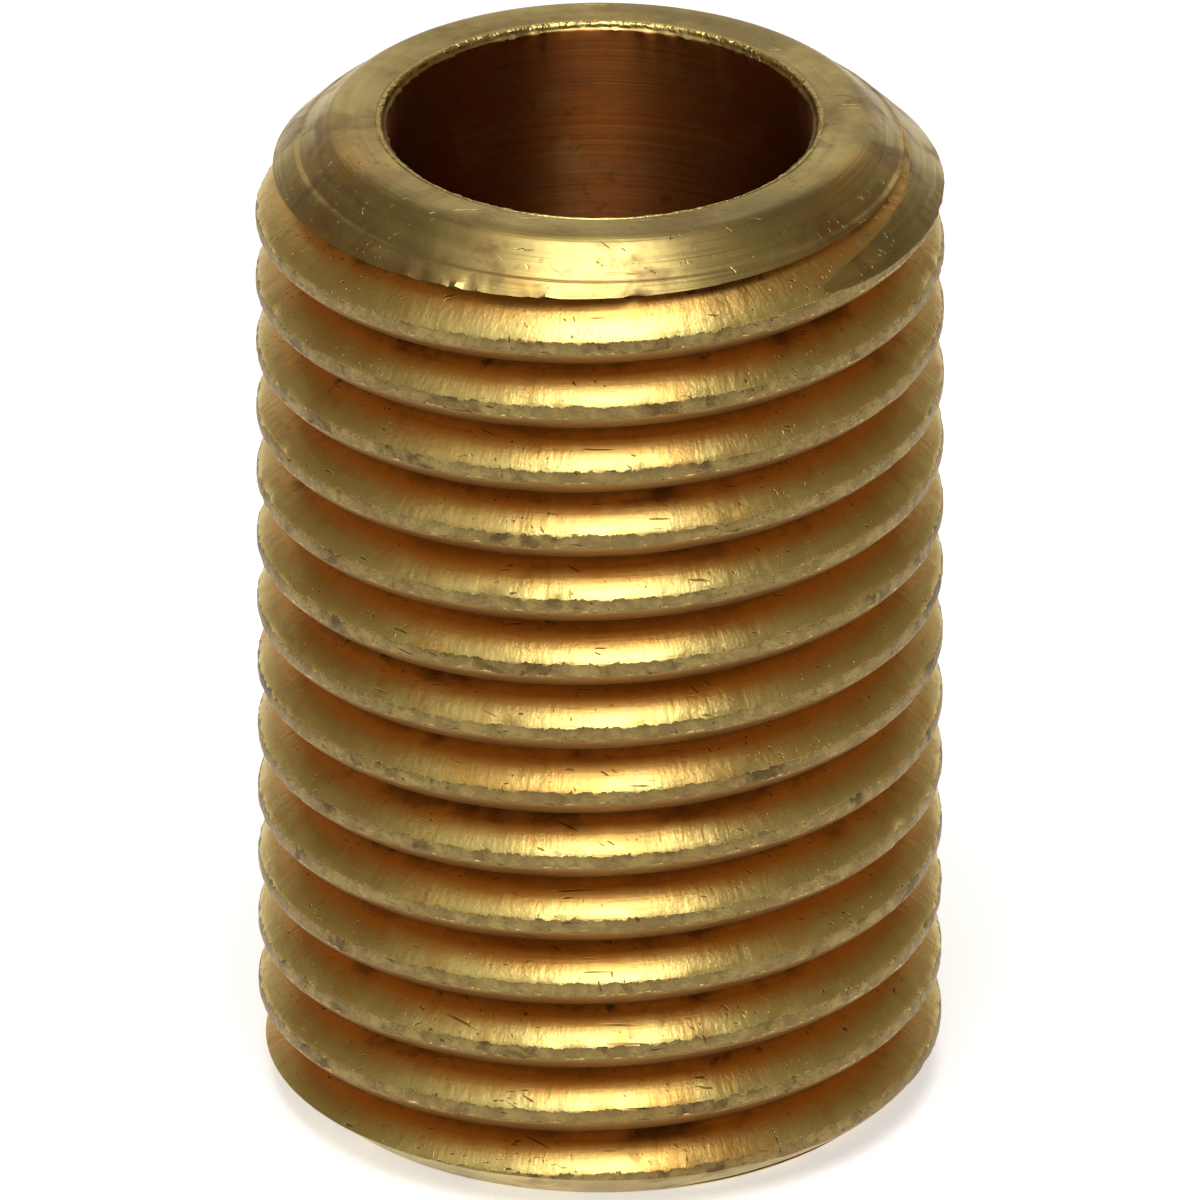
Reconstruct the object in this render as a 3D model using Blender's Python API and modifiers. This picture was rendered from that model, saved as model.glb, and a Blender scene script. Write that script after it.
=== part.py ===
"""Threaded pipe nipple: one length of brass bar, bored through and threaded from end to end.

Units are metres and +Z is up. The origin is the centre of the lower end face, and the bore runs
along +Z. The piece is made as a lathe makes it: a turned and bored blank, then a thread form that
the blank is cut back to.
"""

import math

import bmesh
import bpy

MM = 0.001

# Driving dimensions
OUTER_DIAMETER = 13.55 * MM  # across the thread's crests
THREADS_PER_INCH = 18
LENGTH = 20.8 * MM
BORE_DIAMETER = 8.4 * MM

# Thread form: a right-hand single-start thread, the same from end to end
PITCH = 25.4 * MM / THREADS_PER_INCH
FLANK_SLOPE = math.radians(30)  # each flank against the plane across the axis
CREST_FLAT = 0.15 * PITCH
THREAD_DEPTH = 0.62 * PITCH
HIGH_CREST_DEPTH = 1.33 * MM  # below the upper face, of the highest whole crest at +X

CREST_RADIUS = OUTER_DIAMETER / 2
ROOT_RADIUS = CREST_RADIUS - THREAD_DEPTH
BORE_RADIUS = BORE_DIAMETER / 2

# Ends: (radius, distance from the end face) down each chamfer, which has a small step at the upper end
UPPER_CHAMFER = ((5.25 * MM, 0.0), (5.90 * MM, 0.59 * MM), (6.00 * MM, 0.61 * MM), (CREST_RADIUS, 1.40 * MM))
LOWER_CHAMFER = ((5.80 * MM, 0.0), (CREST_RADIUS, 0.80 * MM))
BORE_BEVEL = 0.25 * MM  # at 45 degrees, at both mouths of the bore

SEGMENTS = 64  # facets around the axis
CLEARANCE = 0.4 * MM  # how far the blank stands outside the thread's crests
SPARE_TURNS = 2  # of the thread form, past each end of the blank
MERGE_DISTANCE = 0.005 * MM
SHARP_EDGE = math.radians(20)
BRASS = (0.55, 0.36, 0.12, 1.0)


def clear_scene():
    for obj in list(bpy.data.objects):
        bpy.data.objects.remove(obj, do_unlink=True)


def new_collection(name):
    collection = bpy.data.collections.new(name)
    bpy.context.scene.collection.children.link(collection)
    return collection


def profile_object(name, points, closed, collection):
    """A line of edges through (radius, height) points, in the XZ plane."""
    mesh = bpy.data.meshes.new(name)
    edges = [(i, i + 1) for i in range(len(points) - 1)]
    if closed:
        edges.append((len(points) - 1, 0))
    mesh.from_pydata([(radius, 0.0, height) for radius, height in points], edges, [])
    obj = bpy.data.objects.new(name, mesh)
    collection.objects.link(obj)
    return obj


def add_screw(obj, turns=1, rise=0.0):
    """Sweeps the object's profile around Z; a thread rises by one pitch in each turn."""
    screw = obj.modifiers.new("Screw", "SCREW")
    screw.axis = "Z"
    screw.angle = math.tau
    screw.screw_offset = rise
    screw.iterations = turns
    screw.steps = SEGMENTS
    screw.render_steps = SEGMENTS
    screw.use_merge_vertices = False


def settle(obj):
    """Replaces the object's mesh with what its modifiers make of it."""
    bpy.context.view_layer.update()
    graph = bpy.context.evaluated_depsgraph_get()
    mesh = bpy.data.meshes.new_from_object(obj.evaluated_get(graph))
    obj.modifiers.clear()
    obj.data = mesh


def turned_blank(collection):
    """The bar, faced to length, bored, and chamfered at both ends, but thicker than the thread.

    Each chamfer's last straight runs on outwards past the crests, so that it cuts them cleanly.
    """
    (r1, d1), (r2, d2) = UPPER_CHAMFER[-2:]
    upper_end = (r2 + CLEARANCE, LENGTH - d2 - CLEARANCE * (d2 - d1) / (r2 - r1))
    (r1, d1), (r2, d2) = LOWER_CHAMFER
    lower_end = (r2 + CLEARANCE, d2 + CLEARANCE * (d2 - d1) / (r2 - r1))
    profile = [(radius, LENGTH - depth) for radius, depth in UPPER_CHAMFER[:-1]]
    profile += [
        upper_end,
        lower_end,
        LOWER_CHAMFER[0],
        (BORE_RADIUS + BORE_BEVEL, 0.0),
        (BORE_RADIUS, BORE_BEVEL),
        (BORE_RADIUS, LENGTH - BORE_BEVEL),
        (BORE_RADIUS + BORE_BEVEL, LENGTH),
    ]
    blank = profile_object("threaded_nipple", profile, True, collection)
    add_screw(blank)
    return blank


def close_ends(mesh):
    """Joins each open end of the swept thread to a point on the axis, which makes it a solid."""
    work = bmesh.new()
    work.from_mesh(mesh)
    bmesh.ops.remove_doubles(work, verts=work.verts, dist=MERGE_DISTANCE)
    heights = [vert.co.z for vert in work.verts]
    middle = (max(heights) + min(heights)) / 2
    rim = [edge for edge in work.edges if edge.is_boundary]
    for pick_apex, is_upper in ((min, False), (max, True)):
        edges = [edge for edge in rim if (edge.verts[0].co.z > middle) == is_upper]
        apex_height = pick_apex(vert.co.z for edge in edges for vert in edge.verts)
        made = bmesh.ops.extrude_edge_only(work, edges=edges)
        apex = [item for item in made["geom"] if isinstance(item, bmesh.types.BMVert)]
        bmesh.ops.pointmerge(work, verts=apex, merge_co=(0.0, 0.0, apex_height))
    bmesh.ops.recalc_face_normals(work, faces=work.faces)
    work.to_mesh(mesh)
    work.free()


def thread_form(collection):
    """A solid screw with the thread's shape, longer than the piece at both ends."""
    half_crest = CREST_FLAT / 2
    half_tooth = half_crest + THREAD_DEPTH * math.tan(FLANK_SLOPE)
    turns_below = math.ceil(LENGTH / PITCH) + SPARE_TURNS
    crest = LENGTH - HIGH_CREST_DEPTH - turns_below * PITCH
    one_pitch = [
        (ROOT_RADIUS, crest + PITCH / 2),
        (ROOT_RADIUS, crest + half_tooth),
        (CREST_RADIUS, crest + half_crest),
        (CREST_RADIUS, crest - half_crest),
        (ROOT_RADIUS, crest - half_tooth),
        (ROOT_RADIUS, crest - PITCH / 2),
    ]
    form = profile_object("thread_form", one_pitch, False, collection)
    add_screw(form, turns=turns_below + SPARE_TURNS, rise=PITCH)
    settle(form)
    close_ends(form.data)
    form.display_type = "WIRE"
    form.hide_render = True
    return form


def brass():
    material = bpy.data.materials.new("brass")
    material.use_nodes = True
    shader = material.node_tree.nodes["Principled BSDF"]
    shader.inputs["Base Color"].default_value = BRASS
    shader.inputs["Metallic"].default_value = 1.0
    shader.inputs["Roughness"].default_value = 0.3
    return material


def threaded_nipple(parts, cutters):
    """The blank, cut back to the thread form."""
    nipple = turned_blank(parts)
    cut = nipple.modifiers.new("Thread", "BOOLEAN")
    cut.operation = "INTERSECT"
    cut.solver = "EXACT"
    cut.object = thread_form(cutters)
    settle(nipple)
    nipple.data.materials.clear()
    nipple.data.materials.append(brass())
    nipple.data.shade_smooth()
    nipple.data.set_sharp_from_angle(angle=SHARP_EDGE)


def main():
    clear_scene()
    parts = new_collection("threaded pipe nipple")
    cutters = new_collection("cutters")
    threaded_nipple(parts, cutters)


main()
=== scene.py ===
"""Threaded brass pipe nipple on a pale studio floor, laid out as an add-on and run as a script.

The nipple is turned from an outline, bored, chamfered and cut back to a swept thread form, and its
crests then get the small burrs and dents of a real thread. Units are metres, +Z is up and the
nipple stands on its lower end face at the origin.
"""

import math
import random

import bmesh
import bpy
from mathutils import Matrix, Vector, noise


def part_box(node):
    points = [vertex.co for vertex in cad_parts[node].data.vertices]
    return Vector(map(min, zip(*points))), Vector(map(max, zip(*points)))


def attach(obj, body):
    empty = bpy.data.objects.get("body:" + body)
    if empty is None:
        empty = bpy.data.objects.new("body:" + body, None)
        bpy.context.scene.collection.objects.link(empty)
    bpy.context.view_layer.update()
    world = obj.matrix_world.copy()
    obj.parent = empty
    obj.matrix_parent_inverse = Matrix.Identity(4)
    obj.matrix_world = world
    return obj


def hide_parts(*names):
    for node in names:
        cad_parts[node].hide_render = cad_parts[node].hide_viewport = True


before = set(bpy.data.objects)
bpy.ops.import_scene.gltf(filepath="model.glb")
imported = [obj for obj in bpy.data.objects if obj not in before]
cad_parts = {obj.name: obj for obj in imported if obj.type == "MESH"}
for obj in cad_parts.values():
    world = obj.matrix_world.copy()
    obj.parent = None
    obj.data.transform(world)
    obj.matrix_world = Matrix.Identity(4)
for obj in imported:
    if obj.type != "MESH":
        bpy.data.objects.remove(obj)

bl_info = {
    "name": "Threaded Pipe Nipple",
    "version": (1, 0, 0),
    "blender": (4, 5, 0),
    "location": "View3D > Sidebar > Nipple",
    "description": "Models a threaded brass pipe nipple and its studio",
    "category": "Object",
}

MM = 0.001
NODE = "threaded_nipple"
LOW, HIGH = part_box(NODE)
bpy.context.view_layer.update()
AROUND = 256  # facets around the axis
SMOOTH_ANGLE = math.radians(24)

THREAD_SLOT, TURNED_SLOT, BORE_SLOT = range(3)

# How far the blank stands outside the crests, so that the cut to the thread is clean.
BLANK_CLEARANCE = 0.4 * MM
# The first stretch of the bore's wall inside each mouth, which keeps the rim's raggedness at the rim.
MOUTH_STRETCH = 0.2 * MM

# Raggedness of the bore's rims: how far from the rim it reaches, how deep it is, and its grain.
RIM_REACH = 0.12 * MM
RIM_DEPTH = 0.06 * MM
RIM_GRAIN = 0.13 * MM
RIM_WAVE = 0.6 * MM

# Burrs that stand along the upper chamfer, low on it and towards the front.
BURR_COUNT = 16
BURR_PLACE = 0.65  # share of the chamfer's depth
BURR_REACH = 0.16 * MM
BURR_ARC = (-130, -82)  # degrees from +X
BURR_WIDTHS = (0.07 * MM, 0.17 * MM)
BURR_HEIGHTS = (0.03 * MM, 0.08 * MM)

# Dents in the crests.
DENT_COUNT = 60
DENT_WIDTHS = (0.10 * MM, 0.40 * MM)
DENT_DEPTHS = (0.02 * MM, 0.07 * MM)

# Unevenness of the crests' edges and of the flanks. It fades in between two depths below a crest.
CREST_FADE = (0.16 * MM, 0.01 * MM)
FINE_GRAIN = 0.22 * MM
COARSE_GRAIN = 0.9 * MM
COARSE_SHIFT = Vector((7.0, 0.0, 0.0))
FLANK_GRAIN = 0.7 * MM
FLANK_RIPPLE = 0.006 * MM


# ---------------------------------------------------------------------------------------------
# Settings
# ---------------------------------------------------------------------------------------------


def length(name, description, default):
    """A size in metres that a user may change."""
    return bpy.props.FloatProperty(
        name=name,
        description=description,
        default=default,
        min=0.0,
        precision=5,
        subtype="DISTANCE",
        unit="LENGTH",
    )


def angle(name, description, degrees):
    """An angle that a user may change."""
    return bpy.props.FloatProperty(
        name=name,
        description=description,
        default=math.radians(degrees),
        subtype="ANGLE",
        unit="ROTATION",
    )


def number(name, description, default):
    """A plain number that a user may change."""
    return bpy.props.FloatProperty(name=name, description=description, default=default, min=0.0)


def colour(name, description, default):
    """A linear colour that a user may change."""
    return bpy.props.FloatVectorProperty(
        name=name, description=description, default=default, size=3, min=0.0, max=1.0, subtype="COLOR"
    )


class NippleSizes(bpy.types.PropertyGroup):
    """Sizes of the nipple. The outside diameter and the length are the frame's."""

    outside: length("Outside", "Diameter across the thread's crests", HIGH.x - LOW.x)
    overall: length("Length", "From one end face to the other", HIGH.z - LOW.z)
    bore: length("Bore", "Diameter of the plain hole", 8.4 * MM)
    bore_bevel: length("Bore bevel", "Width of the bevel at both mouths of the bore", 0.14 * MM)
    upper_face: length("Upper face", "Radius of the upper end face", 5.25 * MM)
    upper_depth: length("Upper chamfer", "How far the upper chamfer reaches down", 1.40 * MM)
    step_radius: length("Step radius", "Radius of the small step in the upper chamfer", 5.90 * MM)
    step_depth: length("Step depth", "Depth of the small step in the upper chamfer", 0.59 * MM)
    step_width: length("Step width", "Width of the small step in the upper chamfer", 0.10 * MM)
    lower_face: length("Lower face", "Radius of the lower end face", 5.80 * MM)
    lower_depth: length("Lower chamfer", "How far the lower chamfer reaches up", 0.80 * MM)
    pitch: length("Pitch", "From one crest to the next", 25.4 * MM / 18)
    high_crest: length("High crest", "Depth of the first whole crest below the upper face, at +X", 1.33 * MM)
    crest_share: number("Crest flat", "Width of the crest as a share of the pitch", 0.15)
    depth_share: number("Thread depth", "Depth of the thread as a share of the pitch", 0.58)
    flank: angle("Flank slope", "Slope of each flank at the root, against the plane across the axis", 24)
    bulge: angle("Bulge", "How much steeper a flank is where it meets the crest", 27)
    bulge_reach: length("Bulge reach", "How far below the crest the flanks bend", 0.62 * MM)
    edge_round: length("Edge rounding", "How far the crest's edges are rounded off", 0.045 * MM)
    burr: length("Burr", "How far the crest's edges wander", 0.035 * MM)


class BrassColours(bpy.types.PropertyGroup):
    """Colours of the brass and of what lies on it, some of which also paint shade."""

    clean: colour("Clean brass", "Freshly cut surfaces", (0.83, 0.665, 0.23))
    # On the thread's crests the dull colour is partly wear and partly painted shade for their dim
    # reflection.
    dull: colour("Dull brass", "Worn crests and handled faces", (0.265, 0.188, 0.072))
    tarnish: colour("Tarnish", "Orange-brown film, mostly deep in the thread", (0.74, 0.345, 0.058))
    # Real film on the ends and in the bore's marks; under the thread's crests it is painted shade.
    brown: colour("Brown film", "Reddish-brown film under the crests and on the ends", (0.23, 0.11, 0.042))
    # Red-brown film, and painted shade that darkens the deep bore.
    bore: colour("Bore film", "Red-brown film on the bore's wall", (0.33, 0.105, 0.021))
    # Dark specks and grime, and also painted shade at the thread's root and under each crest.
    dirt_and_painted_shade: colour("Dirt", "Dark specks and the grime at the thread's root", (0.05, 0.022, 0.007))


class StudioSettings(bpy.types.PropertyGroup):
    """Camera, lights and floor."""

    elevation: angle("Elevation", "Height of the camera above the horizon, seen from the nipple", 27.07)
    distance: length("Distance", "From the camera to the nipple's middle", 0.811)
    aim: length("Aim", "Height that the camera and the lights look at", 10.19 * MM)
    lens: bpy.props.FloatProperty(
        name="Lens", description="Focal length in millimetres", default=1232.0, subtype="DISTANCE_CAMERA"
    )
    key_power: number("Key light", "Power of the overhead softbox in watts", 1.08)
    side_power: number("Side light", "Power of the dim softbox on the left, in watts", 0.10)
    back_power: number("Back light", "Power of the wide softbox behind, in watts", 0.33)
    sky: colour("Surroundings", "Colour of the studio around the floor", (0.145, 0.110, 0.069))
    floor: colour("Floor", "Colour of the floor", (0.86, 0.86, 0.85))
    floor_glow: number("Floor glow", "How brightly the floor's translucent paper is lit from below", 0.66)


# ---------------------------------------------------------------------------------------------
# Mesh work
# ---------------------------------------------------------------------------------------------


def deselect_all():
    if bpy.context.object and bpy.context.object.mode != "OBJECT":
        bpy.ops.object.mode_set(mode="OBJECT")
    bpy.ops.object.select_all(action="DESELECT")


def make_active(obj):
    deselect_all()
    obj.select_set(True)
    bpy.context.view_layer.objects.active = obj


def draw_outline(name, points):
    """A chain of edges through (radius, height) points, extruded from the first to the last."""
    deselect_all()
    radius, height = points[0]
    bpy.ops.mesh.primitive_plane_add(size=MM, location=(radius, 0.0, height))
    outline = bpy.context.object
    outline.name = name
    outline.data.name = name
    bpy.ops.object.transform_apply(location=True, rotation=True, scale=True)
    bpy.ops.object.mode_set(mode="EDIT")
    bpy.ops.mesh.select_mode(type="VERT")
    bpy.ops.mesh.select_all(action="SELECT")
    bpy.ops.mesh.merge(type="CENTER")
    for (radius, height), (next_radius, next_height) in zip(points, points[1:]):
        move = (next_radius - radius, 0.0, next_height - height)
        bpy.ops.mesh.extrude_region_move(TRANSFORM_OT_translate={"value": move})
    bpy.ops.object.mode_set(mode="OBJECT")
    return outline


def sweep(obj, turns=1, rise=0.0):
    """Turns an outline around the axis, rising by one pitch a turn for a thread."""
    make_active(obj)
    bpy.ops.object.modifier_add(type="SCREW")
    screw = obj.modifiers[-1]
    screw.axis = "Z"
    screw.angle = math.tau
    screw.screw_offset = rise
    screw.iterations = turns
    screw.steps = AROUND
    screw.render_steps = AROUND
    bpy.ops.object.modifier_apply(modifier=screw.name)
    bpy.ops.object.mode_set(mode="EDIT")
    bpy.ops.mesh.select_all(action="SELECT")
    bpy.ops.mesh.remove_doubles(threshold=0.002 * MM)
    bpy.ops.object.mode_set(mode="OBJECT")


def signed_volume(obj):
    """Volume of a closed mesh, negative if it is inside out."""
    work = bmesh.new()
    work.from_mesh(obj.data)
    volume = work.calc_volume(signed=True)
    work.free()
    return volume


def close_holes(obj):
    """Fills the open ends and turns every face outwards."""
    make_active(obj)
    bpy.ops.object.mode_set(mode="EDIT")
    bpy.ops.mesh.select_mode(type="EDGE")
    bpy.ops.mesh.select_all(action="DESELECT")
    bpy.ops.mesh.select_non_manifold()
    bpy.ops.mesh.edge_face_add()
    bpy.ops.mesh.select_all(action="SELECT")
    bpy.ops.mesh.normals_make_consistent(inside=False)
    bpy.ops.object.mode_set(mode="OBJECT")
    if signed_volume(obj) < 0:
        bpy.ops.object.mode_set(mode="EDIT")
        bpy.ops.mesh.flip_normals()
        bpy.ops.object.mode_set(mode="OBJECT")


def spread(start, end, count):
    """The points that divide a straight run into count parts, without its last point."""
    (r0, h0), (r1, h1) = start, end
    return [(r0 + (r1 - r0) * i / count, h0 + (h1 - h0) * i / count) for i in range(count)]


def toward(start, end, reach):
    """The point that lies reach away from start, in the direction of end."""
    (r0, h0), (r1, h1) = start, end
    share = reach / math.hypot(r1 - r0, h1 - h0)
    return (r0 + (r1 - r0) * share, h0 + (h1 - h0) * share)


def round_corner(before, corner, after, reach, steps=4):
    """An arc that rounds a corner, from reach before it to reach after it."""
    if reach == 0.0:
        return [corner]
    start, end = toward(corner, before, reach), toward(corner, after, reach)
    arc = []
    for i in range(steps + 1):
        t = i / steps
        shares = ((1 - t) ** 2, 2 * t * (1 - t), t**2)
        arc.append(tuple(sum(w * p[axis] for w, p in zip(shares, (start, corner, end))) for axis in (0, 1)))
    return arc


def blank_outline(sizes):
    """Closed outline of the bored and chamfered bar, which stands a little outside the crests."""
    radius = sizes.outside / 2
    bore = sizes.bore / 2
    rim = bore + sizes.bore_bevel
    top = sizes.overall
    mouth = sizes.bore_bevel + MOUTH_STRETCH
    step = (sizes.step_radius + sizes.step_width, top - sizes.step_depth - 0.4 * sizes.step_width)
    upper_slope = (top - sizes.upper_depth - step[1]) / (radius - step[0])
    lower_slope = sizes.lower_depth / (radius - sizes.lower_face)
    outer = radius + BLANK_CLEARANCE
    # Each corner, the parts that the run after it is divided into, and how far the corner is rounded.
    corners = [
        ((sizes.upper_face, top), 4, 0.22 * MM),
        ((sizes.step_radius, top - sizes.step_depth), 1, 0.03 * MM),
        (step, 8, 0.03 * MM),
        ((outer, top - sizes.upper_depth + BLANK_CLEARANCE * upper_slope), 1, 0.0),
        ((outer, sizes.lower_depth + BLANK_CLEARANCE * lower_slope), 6, 0.0),
        ((sizes.lower_face, 0.0), 4, 0.15 * MM),
        ((rim, 0.0), 1, 0.05 * MM),
        ((bore, sizes.bore_bevel), 1, 0.02 * MM),
        ((bore, mouth), 24, 0.0),
        ((bore, top - mouth), 1, 0.0),
        ((bore, top - sizes.bore_bevel), 1, 0.02 * MM),
        ((rim, top), 3, 0.05 * MM),
    ]
    points = []
    for i, (corner, count, reach) in enumerate(corners):
        after, _, next_reach = corners[(i + 1) % len(corners)]
        arc = round_corner(corners[i - 1][0], corner, after, reach)
        points += arc[:-1] + spread(arc[-1], toward(after, corner, next_reach), count)
    return points + [points[0]]


def turn_blank(sizes):
    """The bar as the lathe leaves it before the thread is cut."""
    blank = draw_outline("pipe_nipple", blank_outline(sizes))
    sweep(blank)
    close_holes(blank)
    return blank


def flank_height(sizes, depth):
    """How far a flank has moved along the axis from the crest's edge, at a depth below the crest."""
    steps = 40
    height = 0.0
    for i in range(steps):
        at = (i + 0.5) / steps * depth
        bent = max(0.0, 1.0 - at / sizes.bulge_reach)
        height += math.tan(sizes.flank + sizes.bulge * bent) * depth / steps
    return height


def thread_outline(sizes, crest):
    """One pitch of the thread, from the root above a crest to the root below it."""
    radius = sizes.outside / 2
    full = sizes.depth_share * sizes.pitch
    half_crest = sizes.crest_share * sizes.pitch / 2
    cut = sizes.edge_round
    # Points on a flank, closer together where it bends near the crest.
    depths = [cut, 2.4 * cut, 4.4 * cut, 7 * cut, 0.55 * full, 0.76 * full, full - cut]
    upper = [(radius, half_crest - cut), (radius - 0.3 * cut, half_crest + 0.05 * cut)]
    upper += [(radius - depth, half_crest + flank_height(sizes, depth)) for depth in depths]
    upper += [(radius - full, sizes.pitch / 2)]
    lower = [(r, -h) for r, h in upper]
    return [(r, crest + h) for r, h in upper[::-1] + lower]


def sweep_thread(sizes):
    """A solid screw with the thread's shape, longer than the nipple at both ends."""
    below = math.ceil(sizes.overall / sizes.pitch) + 1
    crest = sizes.overall - sizes.high_crest - below * sizes.pitch
    form = draw_outline("thread_form", thread_outline(sizes, crest))
    sweep(form, turns=below + 2, rise=sizes.pitch)
    close_holes(form)
    return form


def cut_to_thread(blank, form):
    """Cuts the blank back to the thread form, and removes the form."""
    make_active(blank)
    bpy.ops.object.modifier_add(type="BOOLEAN")
    cut = blank.modifiers[-1]
    cut.operation = "INTERSECT"
    cut.solver = "EXACT"
    cut.object = form
    cut.material_mode = "INDEX"
    bpy.ops.object.modifier_apply(modifier=cut.name)
    bpy.data.objects.remove(form, do_unlink=True)


def thread_phase(sizes, point):
    """Where a point lies across the thread, in pitches from the nearest crest. Also its turn."""
    around = math.atan2(point.y, point.x) / math.tau
    turns = (point.z - sizes.overall + sizes.high_crest) / sizes.pitch - around
    turn = math.floor(turns + 0.5)
    return turns - turn, turn + around


def smooth_step(low, high, value):
    """Smoothly from 0 to 1 as value goes from low to high."""
    t = min(max((value - low) / (high - low), 0.0), 1.0)
    return t * t * (3 - 2 * t)


def chosen_dents(sizes):
    """Knocks on the crest: place in turns from the high crest, width, depth, and the edge it is on."""
    rng = random.Random(21)
    turns = sizes.overall / sizes.pitch
    dents = []
    for _ in range(DENT_COUNT):
        width = rng.uniform(*DENT_WIDTHS)
        depth = rng.uniform(*DENT_DEPTHS)
        side = rng.choice((-1, 0, 1))
        dents.append((-rng.uniform(0.0, turns), width, depth, side))
    return dents


def chosen_burrs():
    """Burrs that the thread's start has pushed up on the upper chamfer: angle, width and height."""
    rng = random.Random(5)
    burrs = []
    for _ in range(BURR_COUNT):
        centre = math.radians(rng.uniform(*BURR_ARC))
        burrs.append((centre, rng.uniform(*BURR_WIDTHS), rng.uniform(*BURR_HEIGHTS)))
    return burrs


def roughen_rim(sizes, point, reach, outward):
    """Where a point of the bore or an end face moves to: both edges of the bore's bevel are ragged."""
    from_end = min(point.z, sizes.overall - point.z)
    bore_edge = math.hypot(reach - sizes.bore / 2, from_end - sizes.bore_bevel)
    face_edge = math.hypot(reach - sizes.bore / 2 - sizes.bore_bevel, from_end)
    near_rim = 1.0 - smooth_step(0.0, RIM_REACH, min(bore_edge, face_edge))
    if near_rim == 0.0:
        return point
    ragged = noise.noise(point / RIM_GRAIN) + 0.4 * noise.noise(point / RIM_WAVE)
    return point - outward * max(ragged, -0.2) * RIM_DEPTH * near_rim


def raise_burrs(sizes, point, outward, burrs):
    """Where a point moves to if it lies under a burr of the upper chamfer."""
    from_burrs = abs(point.z - (sizes.overall - BURR_PLACE * sizes.upper_depth))
    if from_burrs >= BURR_REACH:
        return point
    around = math.atan2(point.y, point.x)
    for centre, width, high in burrs:
        away = abs(around - centre) * sizes.outside / 2
        if away < width:
            raised = high * (1.0 - smooth_step(0.0, width, away)) * (1.0 - from_burrs / BURR_REACH)
            point = point + outward * 0.5 * raised + Vector((0.0, 0.0, raised))
    return point


def wear_crest(sizes, point, outward, on_crest, dents):
    """Where a point of a crest moves to: the edges wander, and the dents bite into them."""
    phase, place = thread_phase(sizes, point)
    fine = noise.noise(point / FINE_GRAIN)
    coarse = noise.noise(point / COARSE_GRAIN + COARSE_SHIFT)
    side = 1.0 if phase > 0 else -1.0
    at_edge = smooth_step(0.0, sizes.crest_share / 2, abs(phase))
    wander = (0.75 * fine + 0.55 * coarse) * sizes.burr * at_edge * on_crest
    bite = max(0.0, fine + 0.5 * coarse) * 0.7 * sizes.burr * on_crest
    push = -side * wander
    for centre, width, depth, dent_side in dents:
        away = abs(place - centre) * math.pi * sizes.outside
        if away < width and dent_side in (0, side):
            fall = 1.0 - smooth_step(0.0, width, away)
            bite += depth * fall * on_crest
            push -= side * 0.4 * depth * fall * at_edge
    return point - outward * bite + Vector((0.0, 0.0, push))


def roughen(obj, sizes):
    """Gives the bore's rims, the upper chamfer, the crests and the flanks their unevenness."""
    radius = sizes.outside / 2
    root = radius - sizes.depth_share * sizes.pitch
    dents = chosen_dents(sizes)
    burrs = chosen_burrs()
    for vert in obj.data.vertices:
        point = vert.co
        reach = math.hypot(point.x, point.y)
        outward = Vector((point.x / reach, point.y / reach, 0.0))
        # Well inside the thread's root there are only the bore, the end faces and their chamfers.
        if reach < root - 0.1 * MM:
            vert.co = roughen_rim(sizes, point, reach, outward)
            continue
        point = raise_burrs(sizes, point, outward, burrs)
        on_crest = smooth_step(radius - CREST_FADE[0], radius - CREST_FADE[1], reach)
        if on_crest > 0.0:
            vert.co = wear_crest(sizes, point, outward, on_crest, dents)
        else:
            vert.co = point + outward * noise.noise(point / FLANK_GRAIN) * FLANK_RIPPLE


def finish_shading(obj):
    make_active(obj)
    bpy.ops.object.shade_smooth_by_angle(angle=SMOOTH_ANGLE)


# ---------------------------------------------------------------------------------------------
# Shader nodes
# ---------------------------------------------------------------------------------------------

NUMBER = "NodeSocketFloat"
VECTOR = "NodeSocketVector"


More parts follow.
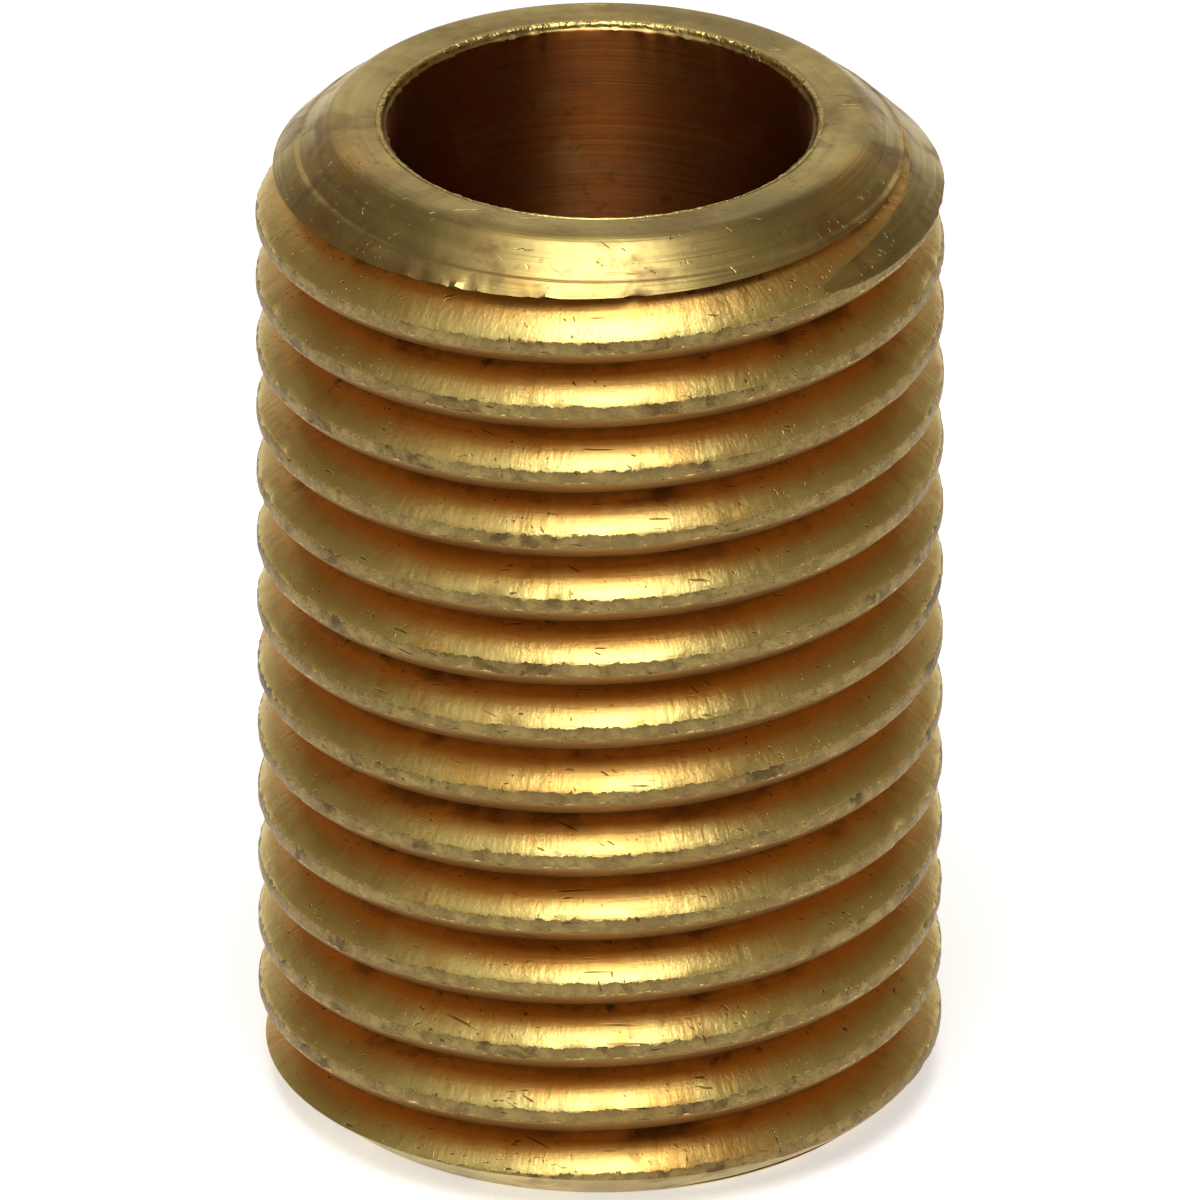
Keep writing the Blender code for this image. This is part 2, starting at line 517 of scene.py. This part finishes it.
class Nodes:
    """Adds nodes to one tree and links what each of them is given."""

    def __init__(self, tree):
        self.tree = tree
        self.column = 0

    def add(self, kind, **settings):
        node = self.tree.nodes.new(kind)
        node.location = (self.column, 0)
        self.column += 180
        for name, value in settings.items():
            setattr(node, name, value)
        return node

    def feed(self, socket, value):
        """Links a socket to what it is given, or sets it to a constant."""
        if isinstance(value, bpy.types.NodeSocket):
            self.tree.links.new(value, socket)
        else:
            socket.default_value = value

    def math(self, operation, *values, clamp=False):
        node = self.add("ShaderNodeMath", operation=operation, use_clamp=clamp)
        for socket, value in zip(node.inputs, values):
            self.feed(socket, value)
        return node.outputs[0]

    def plus(self, first, second, clamp=False):
        return self.math("ADD", first, second, clamp=clamp)

    def minus(self, first, second):
        return self.math("SUBTRACT", first, second)

    def times(self, first, second, clamp=False):
        return self.math("MULTIPLY", first, second, clamp=clamp)

    def over(self, first, second):
        return self.math("DIVIDE", first, second)

    def vector(self, operation, *values):
        node = self.add("ShaderNodeVectorMath", operation=operation)
        for socket, value in zip(node.inputs, values):
            self.feed(socket, value)
        return node.outputs["Value" if operation == "LENGTH" else "Vector"]

    def scale(self, vector, factor):
        node = self.add("ShaderNodeVectorMath", operation="SCALE")
        self.feed(node.inputs["Vector"], vector)
        self.feed(node.inputs["Scale"], factor)
        return node.outputs["Vector"]

    def ramp(self, value, low, high, start=0.0, end=1.0):
        """Smoothly from start to end as value goes from low to high."""
        node = self.add("ShaderNodeMapRange", interpolation_type="SMOOTHSTEP")
        given = {"Value": value, "From Min": low, "From Max": high, "To Min": start, "To Max": end}
        for name, setting in given.items():
            self.feed(node.inputs[name], setting)
        return node.outputs["Result"]

    def noise(self, vector, scale, detail=2.0, roughness=0.5, w=None, distortion=0.0):
        node = self.add("ShaderNodeTexNoise", noise_dimensions="3D" if w is None else "4D")
        self.feed(node.inputs["Vector"], vector)
        if w is not None:
            self.feed(node.inputs["W"], w)
        self.feed(node.inputs["Scale"], scale)
        self.feed(node.inputs["Detail"], detail)
        self.feed(node.inputs["Roughness"], roughness)
        self.feed(node.inputs["Distortion"], distortion)
        return node.outputs["Fac"]

    def blend(self, factor, first, second):
        """From the first colour to the second."""
        node = self.add("ShaderNodeMix", data_type="RGBA")
        self.feed(node.inputs["Factor"], factor)
        self.feed(node.inputs[6], as_colour(first))
        self.feed(node.inputs[7], as_colour(second))
        return node.outputs[2]

    def layer(self, under, over, mask, strength):
        """One colour laid over another where the mask is 1."""
        return self.blend(self.times(mask, strength), under, over)

    def group(self, tree, **values):
        node = self.add("ShaderNodeGroup", node_tree=tree)
        for name, value in values.items():
            self.feed(node.inputs[name.replace("_", " ").capitalize()], value)
        return node.outputs


def as_colour(value):
    if isinstance(value, bpy.types.NodeSocket):
        return value
    return (*value[:3], 1.0)


def new_group(name, inputs, outputs, kind=NUMBER):
    """A shader node group, with inputs {name: (socket type, default or None)} and outputs of one kind."""
    tree = bpy.data.node_groups.new(name, "ShaderNodeTree")
    for label, (input_kind, default) in inputs.items():
        socket = tree.interface.new_socket(label, in_out="INPUT", socket_type=input_kind)
        if default is not None:
            socket.default_value = default
    for label in outputs:
        tree.interface.new_socket(label, in_out="OUTPUT", socket_type=kind)
    nodes = Nodes(tree)
    entry = nodes.add("NodeGroupInput")
    end = nodes.add("NodeGroupOutput")
    return tree, nodes, entry.outputs, end.inputs


def lathe_place_group(sizes):
    """Where a point lies on the work: its radius and height in mm, and its place across and along
    the thread, in pitches from the nearest crest and in turns."""
    tree, nodes, given, made = new_group(
        "Lathe place", {"Position": (VECTOR, None)}, ("Radius", "Height", "Phase", "Along")
    )
    place = nodes.scale(given["Position"], 1 / MM)
    split = nodes.add("ShaderNodeSeparateXYZ")
    nodes.feed(split.inputs[0], place)
    x, y, z = split.outputs
    flat = nodes.add("ShaderNodeCombineXYZ")
    nodes.feed(flat.inputs[0], x)
    nodes.feed(flat.inputs[1], y)
    around = nodes.over(nodes.math("ARCTAN2", y, x), math.tau)
    from_crest = nodes.minus(z, (sizes.overall - sizes.high_crest) / MM)
    turns = nodes.minus(nodes.over(from_crest, sizes.pitch / MM), around)
    shifted = nodes.plus(turns, 0.5)
    nodes.feed(made["Radius"], nodes.vector("LENGTH", flat.outputs[0]))
    nodes.feed(made["Height"], z)
    nodes.feed(made["Phase"], nodes.minus(nodes.math("FRACT", shifted), 0.5))
    nodes.feed(made["Along"], nodes.plus(nodes.math("FLOOR", shifted), around))
    return tree


def tool_marks_group():
    """Fine lines that a cutting tool leaves around the work. Across runs over them, in mm."""
    tree, nodes, given, made = new_group(
        "Tool marks",
        {"Position": (VECTOR, None), "Across": (NUMBER, 0.0), "Lines": (NUMBER, 20.0), "Run": (NUMBER, 3.0)},
        ("Height", "Streak"),
    )
    stretched = nodes.scale(given["Position"], nodes.over(1 / MM, given["Run"]))
    fine_lines = nodes.times(given["Across"], given["Lines"])
    broad_lines = nodes.times(given["Across"], nodes.over(given["Lines"], 4.0))
    fine = nodes.noise(stretched, 1.0, 3.0, 0.7, w=fine_lines)
    broad = nodes.noise(stretched, 1.0, 2.0, 0.6, w=broad_lines)
    nodes.feed(made["Height"], nodes.plus(nodes.times(fine, 0.6), broad))
    nodes.feed(made["Streak"], nodes.ramp(broad, 0.40, 0.62))
    return tree


def tarnish_group():
    """Patches of brown film with a broken edge. Amount is the share that they cover."""
    tree, nodes, given, made = new_group(
        "Tarnish",
        {"Position": (VECTOR, None), "Amount": (NUMBER, 0.4), "Size": (NUMBER, 2.0)},
        ("Mask", "Cloud"),
    )
    place = nodes.scale(given["Position"], nodes.over(1 / MM, given["Size"]))
    cloud = nodes.noise(place, 1.0, 5.0, 0.62, distortion=0.4)
    low = nodes.minus(0.72, nodes.times(given["Amount"], 0.45))
    nodes.feed(made["Mask"], nodes.ramp(cloud, low, nodes.plus(low, 0.16)))
    nodes.feed(made["Cloud"], cloud)
    return tree


def grime_group():
    """Dark specks of swarf and dried oil. Where is how readily the surface holds them."""
    tree, nodes, given, made = new_group(
        "Grime",
        {"Position": (VECTOR, None), "Where": (NUMBER, 1.0), "Size": (NUMBER, 0.35)},
        ("Mask",),
    )
    place = nodes.scale(given["Position"], nodes.over(1 / MM, given["Size"]))
    specks = nodes.ramp(nodes.noise(place, 1.0, 3.0, 0.6, distortion=0.6), 0.60, 0.68)
    clusters = nodes.ramp(nodes.noise(place, 0.14, 2.0), 0.45, 0.60)
    nodes.feed(made["Mask"], nodes.times(nodes.times(specks, clusters), given["Where"], clamp=True))
    return tree


def scratches_group():
    """Short thin scratches that lie at three angles."""
    tree, nodes, given, made = new_group(
        "Scratches",
        {"Position": (VECTOR, None), "Size": (NUMBER, 1.0)},
        ("Mask",),
    )
    total = None
    for turn, shift in ((0.4, 0.0), (1.3, 5.0), (2.3, 11.0)):
        turned = nodes.add("ShaderNodeVectorRotate", rotation_type="EULER_XYZ")
        nodes.feed(turned.inputs["Vector"], given["Position"])
        turned.inputs["Rotation"].default_value = (turn, 0.7 * turn, 1.9 * turn)
        place = nodes.scale(turned.outputs[0], nodes.over(1 / MM, given["Size"]))
        drawn_out = nodes.vector("MULTIPLY", place, (14.0, 14.0, 0.9))
        shifted = nodes.vector("ADD", drawn_out, (shift, 0.0, 0.0))
        line = nodes.ramp(nodes.noise(shifted, 1.0, 1.0), 0.70, 0.76)
        patch = nodes.ramp(nodes.noise(place, 0.9, 1.0), 0.48, 0.60)
        lines = nodes.times(line, patch)
        total = lines if total is None else nodes.math("MAXIMUM", total, lines)
    nodes.feed(made["Mask"], total)
    return tree


def worn_flat_group():
    """The surface's normal, turned straight out from the axis where the mask is 1, as on a worn crest."""
    tree, nodes, given, made = new_group(
        "Worn flat", {"Position": (VECTOR, None), "Mask": (NUMBER, 0.0)}, ("Normal",), kind=VECTOR
    )
    surface = nodes.add("ShaderNodeNewGeometry").outputs["Normal"]
    outward = nodes.vector("NORMALIZE", nodes.vector("MULTIPLY", given["Position"], (1.0, 1.0, 0.0)))
    lean = nodes.scale(nodes.vector("SUBTRACT", outward, surface), given["Mask"])
    nodes.feed(made["Normal"], nodes.vector("NORMALIZE", nodes.vector("ADD", surface, lean)))
    return tree


class Brass:
    """One finish of the brass: what is shared between the thread, the turned ends and the bore."""

    def __init__(self, name, groups, anisotropic):
        self.material = bpy.data.materials.new(name)
        self.material.use_nodes = True
        self.nodes = Nodes(self.material.node_tree)
        self.shader = self.material.node_tree.nodes["Principled BSDF"]
        self.shader.inputs["Metallic"].default_value = 1.0
        self.shader.inputs["Anisotropic"].default_value = anisotropic
        # A quarter turn, so that highlights spread across the rings of the lathe and not along them.
        self.shader.inputs["Anisotropic Rotation"].default_value = 0.25
        self.groups = groups
        self.position = self.nodes.add("ShaderNodeTexCoord").outputs["Object"]
        self.millimetres = self.nodes.scale(self.position, 1 / MM)
        self.place = self.effect("place")

    def effect(self, name, **values):
        """A shared effect, placed on the piece with this finish's own values."""
        return self.nodes.group(self.groups[name], position=self.position, **values)

    def finish(self, base, roughness, height, normal=None):
        """Height is in millimetres. Normal replaces the surface's own."""
        self.nodes.feed(self.shader.inputs["Base Color"], base)
        self.nodes.feed(self.shader.inputs["Roughness"], roughness)
        bump = self.nodes.add("ShaderNodeBump")
        bump.inputs["Distance"].default_value = MM
        bump.inputs["Strength"].default_value = 1.0
        self.nodes.feed(bump.inputs["Height"], height)
        if normal is not None:
            self.nodes.feed(bump.inputs["Normal"], normal)
        self.nodes.feed(self.shader.inputs["Normal"], bump.outputs["Normal"])
        return self.material


def crest_mask(brass, across, half_crest, outside):
    """1 on the worn flat of a crest, with a jagged edge."""
    nodes = brass.nodes
    jag = nodes.minus(nodes.noise(brass.millimetres, 5.0, 4.0, 0.65), 0.5)
    from_middle = nodes.math("ABSOLUTE", nodes.minus(across, 0.02))
    edge = nodes.plus(from_middle, nodes.times(jag, 0.22))
    between = nodes.ramp(edge, half_crest + 0.010, half_crest + 0.022, 1.0, 0.0)
    return nodes.times(between, nodes.ramp(brass.place["Radius"], outside - 0.26, outside - 0.16))


def thread_brass(sizes, colours, groups):
    """The threaded outside: bright flanks; crests dulled by wear and painted shade; an orange film; grime
    and painted shade at the root and under each crest.
    """
    brass = Brass("threaded_brass", groups, anisotropic=0.5)
    nodes, place, millimetres = brass.nodes, brass.place, brass.millimetres
    outside = sizes.outside / 2 / MM
    root = outside - sizes.depth_share * sizes.pitch / MM
    half_crest = sizes.crest_share * sizes.pitch / 2 / MM
    across = nodes.times(place["Phase"], sizes.pitch / MM)
    on_crest = crest_mask(brass, across, half_crest, outside)

    # Films begin at a depth that wanders with the patches of film and with the cutter's chatter.
    film = brass.effect("tarnish", amount=0.5, size=2.4)
    chatter_lines = nodes.times(place["Along"], 90.0)
    chatter = nodes.noise(nodes.scale(millimetres, 0.5), 1.0, 3.0, 0.7, w=chatter_lines)
    film_wander = nodes.times(nodes.minus(film["Cloud"], 0.5), 0.6)
    chatter_wander = nodes.times(nodes.minus(chatter, 0.5), 0.35)
    from_axis = nodes.plus(place["Radius"], nodes.plus(film_wander, chatter_wander))
    deep = nodes.ramp(from_axis, root + 0.22, root + 0.74, 1.0, 0.0)
    # Darker at the root: partly grime, partly painted shade of the deep groove.
    root_grime_and_shade = nodes.ramp(from_axis, root - 0.02, root + 0.20, 1.0, 0.0)
    low_on_flank = nodes.ramp(from_axis, root + 0.12, root + 0.58, 1.0, 0.0)

    # The film is thinner on the first turn below the upper face.
    turn_top = (sizes.overall - sizes.pitch) / MM
    turn_foot = (sizes.overall - 1.6 * sizes.pitch) / MM
    thinned = nodes.ramp(place["Height"], turn_foot, turn_top, 1.0, 0.6)

    marks = brass.effect("marks", across=across, lines=24.0, run=2.2)
    specks = brass.effect("grime", where=nodes.plus(0.25, root_grime_and_shade), size=0.42)
    scratches = brass.effect("scratches", size=1.2)
    # Painted shade: the lower flank under each crest is painted brown, and darker further down it.
    under = nodes.ramp(across, -0.7 * half_crest, -1.0 * half_crest)
    shaded = nodes.ramp(across, -1.4 * half_crest, -3.2 * half_crest)
    patches = nodes.ramp(nodes.noise(nodes.scale(millimetres, 0.45), 1.0, 4.0, 0.6), 0.54, 0.66)
    smudges = nodes.times(patches, low_on_flank)
    mottle = nodes.ramp(nodes.noise(millimetres, 2.6, 4.0, 0.7), 0.34, 0.62, 0.78, 1.0)
    stains = nodes.noise(nodes.scale(millimetres, 0.8), 1.0, 5.0, 0.65, distortion=0.5)
    rubbed = nodes.times(nodes.ramp(stains, 0.54, 0.66), on_crest)

    base = nodes.layer(colours.clean, colours.tarnish, film["Mask"], 0.50)
    base = nodes.layer(base, colours.tarnish, marks["Streak"], 0.15)
    base = nodes.layer(base, colours.tarnish, nodes.times(deep, thinned), 0.92)
    # Painted shade under the crests.
    base = nodes.layer(base, colours.brown, under, 0.85)
    base = nodes.layer(base, colours.dirt_and_painted_shade, shaded, 0.15)
    # Crests painted dull: partly wear, partly painted shade for their dim reflection.
    base = nodes.blend(nodes.times(on_crest, mottle), base, colours.dull)
    # Grime and painted shade at the root.
    base = nodes.layer(base, colours.dirt_and_painted_shade, root_grime_and_shade, 0.34)
    base = nodes.layer(base, colours.dirt_and_painted_shade, smudges, 0.50)
    base = nodes.layer(base, colours.dirt_and_painted_shade, rubbed, 0.6)
    base = nodes.layer(base, colours.dirt_and_painted_shade, scratches["Mask"], 0.7)
    base = nodes.layer(base, colours.dirt_and_painted_shade, specks["Mask"], 0.7)

    roughness = nodes.plus(0.27, nodes.times(film["Cloud"], 0.16))
    roughness = nodes.plus(roughness, nodes.times(chatter, 0.10))
    roughness = nodes.plus(roughness, nodes.times(on_crest, 0.10))
    roughness = nodes.plus(roughness, nodes.times(specks["Mask"], 0.25), clamp=True)

    pits = nodes.noise(millimetres, 9.0, 3.0, 0.6)
    height = nodes.times(marks["Height"], 0.008)
    height = nodes.plus(height, nodes.times(chatter, 0.016))
    height = nodes.minus(height, nodes.times(scratches["Mask"], 0.008))
    height = nodes.plus(height, nodes.times(pits, nodes.ramp(on_crest, 0.0, 1.0, 0.006, 0.034)))
    flat = brass.effect("flat", mask=on_crest)
    return brass.finish(base, roughness, height, flat["Normal"])


def turned_brass(sizes, colours, groups):
    """The end faces and chamfers, dulled by handling, with the fine rings of a turning tool."""
    brass = Brass("turned_brass", groups, anisotropic=0.35)
    nodes, place = brass.nodes, brass.place
    down_the_chamfer = nodes.minus(place["Radius"], place["Height"])
    marks = brass.effect("marks", across=down_the_chamfer, lines=13.0, run=5.0)
    film = brass.effect("tarnish", amount=0.5, size=2.6)
    stains = brass.effect("tarnish", amount=0.50, size=1.2)
    warm = brass.effect("tarnish", amount=0.38, size=3.4)
    specks = brass.effect("grime", where=0.4, size=0.5)
    scratches = brass.effect("scratches", size=1.6)

    # The upper face is less stained than its chamfer.
    top = sizes.overall / MM
    stain_strength = nodes.ramp(place["Height"], top - 0.30, top - 0.04, 0.60, 0.22)

    # The edge between an end face and the bore's bevel is rubbed bright and chipped.
    rim = (sizes.bore / 2 + sizes.bore_bevel) / MM
    from_rim = nodes.math("ABSOLUTE", nodes.minus(place["Radius"], rim))
    on_rim = nodes.ramp(from_rim, 0.03, 0.10, 1.0, 0.0)
    chips = nodes.times(on_rim, nodes.noise(brass.millimetres, 6.0, 2.0, 0.6))

    dulled = nodes.plus(0.30, nodes.ramp(film["Cloud"], 0.35, 0.65, 0.0, 0.45))
    base = nodes.blend(dulled, colours.clean, colours.dull)
    base = nodes.layer(base, colours.dull, marks["Streak"], 0.30)
    base = nodes.layer(base, colours.tarnish, warm["Mask"], 0.45)
    base = nodes.layer(base, colours.brown, stains["Mask"], stain_strength)
    base = nodes.layer(base, colours.clean, on_rim, 0.7)
    base = nodes.layer(base, colours.dirt_and_painted_shade, specks["Mask"], 0.5)

    roughness = nodes.plus(0.26, nodes.times(film["Cloud"], 0.22))
    roughness = nodes.plus(roughness, nodes.times(stains["Mask"], 0.10))
    roughness = nodes.plus(roughness, nodes.times(specks["Mask"], 0.2), clamp=True)

    height = nodes.times(marks["Height"], 0.016)
    height = nodes.minus(height, nodes.times(scratches["Mask"], 0.012))
    height = nodes.plus(height, nodes.times(chips, 0.07))
    return brass.finish(base, roughness, height)


def bored_brass(colours, groups):
    """The bore's wall: red-brown film and painted shade of the deep hole, and ringed by the drill."""
    brass = Brass("bored_brass", groups, anisotropic=0.92)
    nodes = brass.nodes
    marks = brass.effect("marks", across=brass.place["Height"], lines=9.0, run=9.0)
    film = brass.effect("tarnish", amount=0.8, size=2.0)
    specks = brass.effect("grime", where=0.5, size=0.5)
    # Mostly the bore colour: red-brown film and painted shade of the deep hole.
    browned_and_shaded = nodes.plus(0.88, nodes.times(film["Mask"], 0.12))
    base = nodes.blend(browned_and_shaded, colours.clean, colours.bore)
    base = nodes.layer(base, colours.brown, marks["Streak"], 0.25)
    base = nodes.layer(base, colours.dirt_and_painted_shade, specks["Mask"], 0.7)
    roughness = nodes.plus(0.38, nodes.times(film["Cloud"], 0.2))
    return brass.finish(base, roughness, nodes.times(marks["Height"], 0.026))


def brass_finishes(sizes, colours):
    """The three finishes, in the order of the piece's material slots."""
    groups = {
        "place": lathe_place_group(sizes),
        "marks": tool_marks_group(),
        "tarnish": tarnish_group(),
        "grime": grime_group(),
        "scratches": scratches_group(),
        "flat": worn_flat_group(),
    }
    return [
        thread_brass(sizes, colours, groups),
        turned_brass(sizes, colours, groups),
        bored_brass(colours, groups),
    ]


def give_finishes(blank, form, finishes, sizes):
    """Every face gets its finish before the cut, which carries it over."""
    for obj in (blank, form):
        obj.data.materials.clear()
        for finish in finishes:
            obj.data.materials.append(finish)
    bore_reach = sizes.bore / 2 + 0.05 * MM
    for face in blank.data.polygons:
        reach = math.hypot(face.center.x, face.center.y)
        face.material_index = BORE_SLOT if reach < bore_reach else TURNED_SLOT
    for face in form.data.polygons:
        face.material_index = THREAD_SLOT


class NIPPLE_OT_model(bpy.types.Operator):
    """Model the threaded nipple"""

    bl_idname = "nipple.model"
    bl_label = "Model the nipple"
    bl_options = {"REGISTER", "UNDO"}

    def execute(self, context):
        sizes = context.scene.nipple_sizes
        finishes = brass_finishes(sizes, context.scene.nipple_colours)
        nipple = turn_blank(sizes)
        form = sweep_thread(sizes)
        give_finishes(nipple, form, finishes, sizes)
        cut_to_thread(nipple, form)
        roughen(nipple, sizes)
        finish_shading(nipple)
        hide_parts(NODE)
        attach(nipple, "root")
        return {"FINISHED"}


# ---------------------------------------------------------------------------------------------
# Stage
# ---------------------------------------------------------------------------------------------


def direction(azimuth, elevation):
    """Unit vector to a place in the studio. Azimuth 0 is in front of the nipple, 90 to its right."""
    a, e = math.radians(azimuth), math.radians(elevation)
    return Vector((math.sin(a) * math.cos(e), -math.cos(a) * math.cos(e), math.sin(e)))


def add_softbox(name, azimuth, elevation, distance, width, height, power, aim):
    """A rectangular light that faces the nipple."""
    deselect_all()
    towards = direction(azimuth, elevation)
    turn = towards.to_track_quat("Z", "Y").to_euler()
    place = Vector((0.0, 0.0, aim)) + towards * distance
    bpy.ops.object.light_add(type="AREA", location=place, rotation=turn)
    lamp = bpy.context.object
    lamp.name = name
    lamp.data.shape = "RECTANGLE"
    lamp.data.size = width
    lamp.data.size_y = height
    lamp.data.energy = power


def add_floor(settings):
    deselect_all()
    bpy.ops.mesh.primitive_plane_add(size=4.0)
    floor = bpy.context.object
    floor.name = "studio_floor"
    material = bpy.data.materials.new("pale_paper")
    material.use_nodes = True
    shader = material.node_tree.nodes["Principled BSDF"]
    shader.inputs["Base Color"].default_value = (*settings.floor, 1.0)
    shader.inputs["Roughness"].default_value = 0.9
    shader.inputs["Specular IOR Level"].default_value = 0.2
    shader.inputs["Emission Color"].default_value = (*settings.floor, 1.0)
    shader.inputs["Emission Strength"].default_value = settings.floor_glow
    floor.data.materials.append(material)


def add_surroundings(settings):
    world = bpy.data.worlds.new("studio")
    bpy.context.scene.world = world
    world.use_nodes = True
    background = world.node_tree.nodes["Background"]
    background.inputs["Color"].default_value = (*settings.sky, 1.0)
    background.inputs["Strength"].default_value = 1.0


def add_camera(settings):
    deselect_all()
    towards = direction(0.0, math.degrees(settings.elevation))
    place = Vector((0.0, 0.0, settings.aim)) + towards * settings.distance
    turn = towards.to_track_quat("Z", "Y").to_euler()
    bpy.ops.object.camera_add(location=place, rotation=turn)
    camera = bpy.context.object
    camera.name = "studio_camera"
    camera.data.lens = settings.lens
    camera.data.sensor_width = 36.0
    camera.data.clip_start = 0.01
    camera.data.clip_end = 10.0
    bpy.context.scene.camera = camera


class NIPPLE_OT_stage(bpy.types.Operator):
    """Set up the floor, the lights and the camera"""

    bl_idname = "nipple.stage"
    bl_label = "Set up the studio"
    bl_options = {"REGISTER", "UNDO"}

    def execute(self, context):
        settings = context.scene.nipple_studio
        add_floor(settings)
        add_surroundings(settings)
        # Name, azimuth, elevation, distance, width, height and power.
        for softbox in (
            ("key_softbox", 0.0, 71.0, 0.40, 0.18, 0.32, settings.key_power),
            ("left_softbox", -55.0, 55.0, 0.40, 0.22, 0.30, settings.side_power),
            ("back_softbox", 180.0, 24.0, 0.50, 0.60, 0.30, settings.back_power),
        ):
            add_softbox(*softbox, aim=settings.aim)
        add_camera(settings)
        context.scene.view_settings.view_transform = "Standard"
        return {"FINISHED"}


class NIPPLE_PT_panel(bpy.types.Panel):
    """Steps and settings of the threaded nipple"""

    bl_idname = "NIPPLE_PT_panel"
    bl_label = "Threaded Nipple"
    bl_space_type = "VIEW_3D"
    bl_region_type = "UI"
    bl_category = "Nipple"

    def draw(self, context):
        layout = self.layout
        layout.operator(NIPPLE_OT_model.bl_idname)
        layout.operator(NIPPLE_OT_stage.bl_idname)
        scene = context.scene
        for settings in (scene.nipple_sizes, scene.nipple_colours, scene.nipple_studio):
            box = layout.box()
            for name in settings.__annotations__:
                box.prop(settings, name)


CLASSES = (
    NippleSizes,
    BrassColours,
    StudioSettings,
    NIPPLE_OT_model,
    NIPPLE_OT_stage,
    NIPPLE_PT_panel,
)


def register():
    for cls in CLASSES:
        bpy.utils.register_class(cls)
    bpy.types.Scene.nipple_sizes = bpy.props.PointerProperty(type=NippleSizes)
    bpy.types.Scene.nipple_colours = bpy.props.PointerProperty(type=BrassColours)
    bpy.types.Scene.nipple_studio = bpy.props.PointerProperty(type=StudioSettings)


def unregister():
    del bpy.types.Scene.nipple_studio
    del bpy.types.Scene.nipple_colours
    del bpy.types.Scene.nipple_sizes
    for cls in reversed(CLASSES):
        bpy.utils.unregister_class(cls)


def main():
    register()
    bpy.ops.nipple.model()
    bpy.ops.nipple.stage()


if __name__ == "__main__":
    main()
